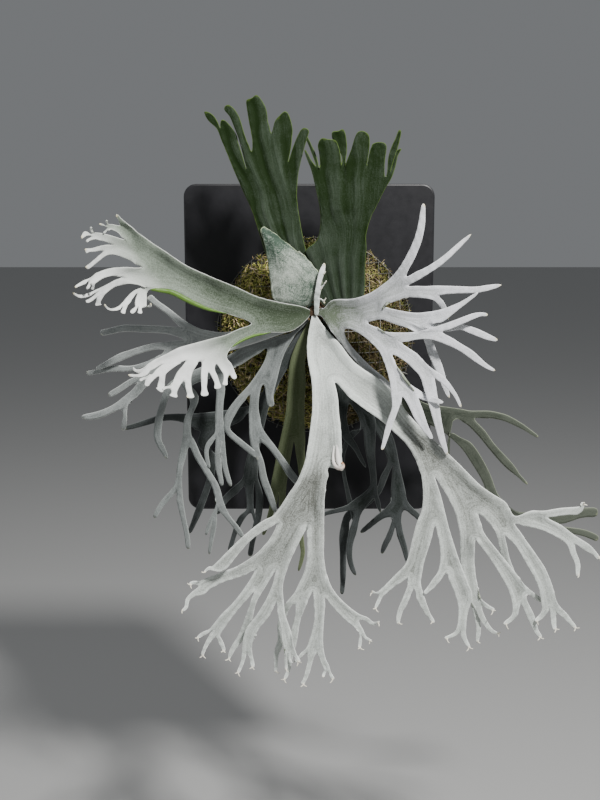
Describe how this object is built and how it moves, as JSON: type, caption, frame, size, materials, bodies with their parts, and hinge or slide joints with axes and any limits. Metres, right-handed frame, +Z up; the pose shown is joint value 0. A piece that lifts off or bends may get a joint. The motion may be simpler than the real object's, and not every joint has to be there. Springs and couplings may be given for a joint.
{
  "type": "mounted staghorn fern",
  "caption": "Staghorn fern with silvery antler-shaped fronds and tall shield fronds, rooted in a netted moss cushion on a flat wall board with a keyhole hanger.",
  "frame": {"origin": "centre of the board's back face, on the wall", "axes": "+Z up, +X to the viewer's right, the plant grows out of the board towards -Y"},
  "size_m": [0.6131, 0.1956, 0.6573],
  "materials": {
    "board": "satin charcoal-black paint on wood",
    "hanger_steel": "zinc-plated steel",
    "screw_steel": "zinc-plated steel",
    "moss": "dried long-fibre moss, matt",
    "netting": "dull galvanised wire",
    "staple_steel": "dull galvanised wire",
    "rhizome": "brown papery scales, matt",
    "shield_leaf": "grey-green leaf with pale felt",
    "shield_young_leaf": "pale green leaf with white felt",
    "silver_leaf": "leaf under dense silver-white felt",
    "grey_leaf": "grey-green leaf with worn felt",
    "olive_leaf": "olive-green leaf",
    "shaded_leaf": "dark green leaf with thin felt"
  },
  "bodies": {
    "root": {"board": "board", "keyhole_plate": "hanger_steel", "plate_screw_1": "screw_steel", "plate_screw_2": "screw_steel", "moss_mound": "moss", "wire_netting": "netting", "net_staple_1": "staple_steel", "net_staple_2": "staple_steel", "net_staple_3": "staple_steel", "net_staple_4": "staple_steel", "net_staple_5": "staple_steel", "net_staple_6": "staple_steel", "net_staple_7": "staple_steel", "net_staple_8": "staple_steel", "rhizome": "rhizome", "shield_left": "shield_leaf", "shield_right": "shield_leaf", "shield_young": "shield_young_leaf", "bud_frond": "silver_leaf", "frond_left": "silver_leaf", "frond_right": "silver_leaf", "frond_centre": "silver_leaf", "frond_left_back": "grey_leaf", "frond_left_hanging": "grey_leaf", "frond_right_back": "grey_leaf", "frond_olive": "olive_leaf", "frond_left_low": "shaded_leaf", "frond_right_low": "shaded_leaf", "frond_slate": "shaded_leaf"}
  },
  "joints": []
}
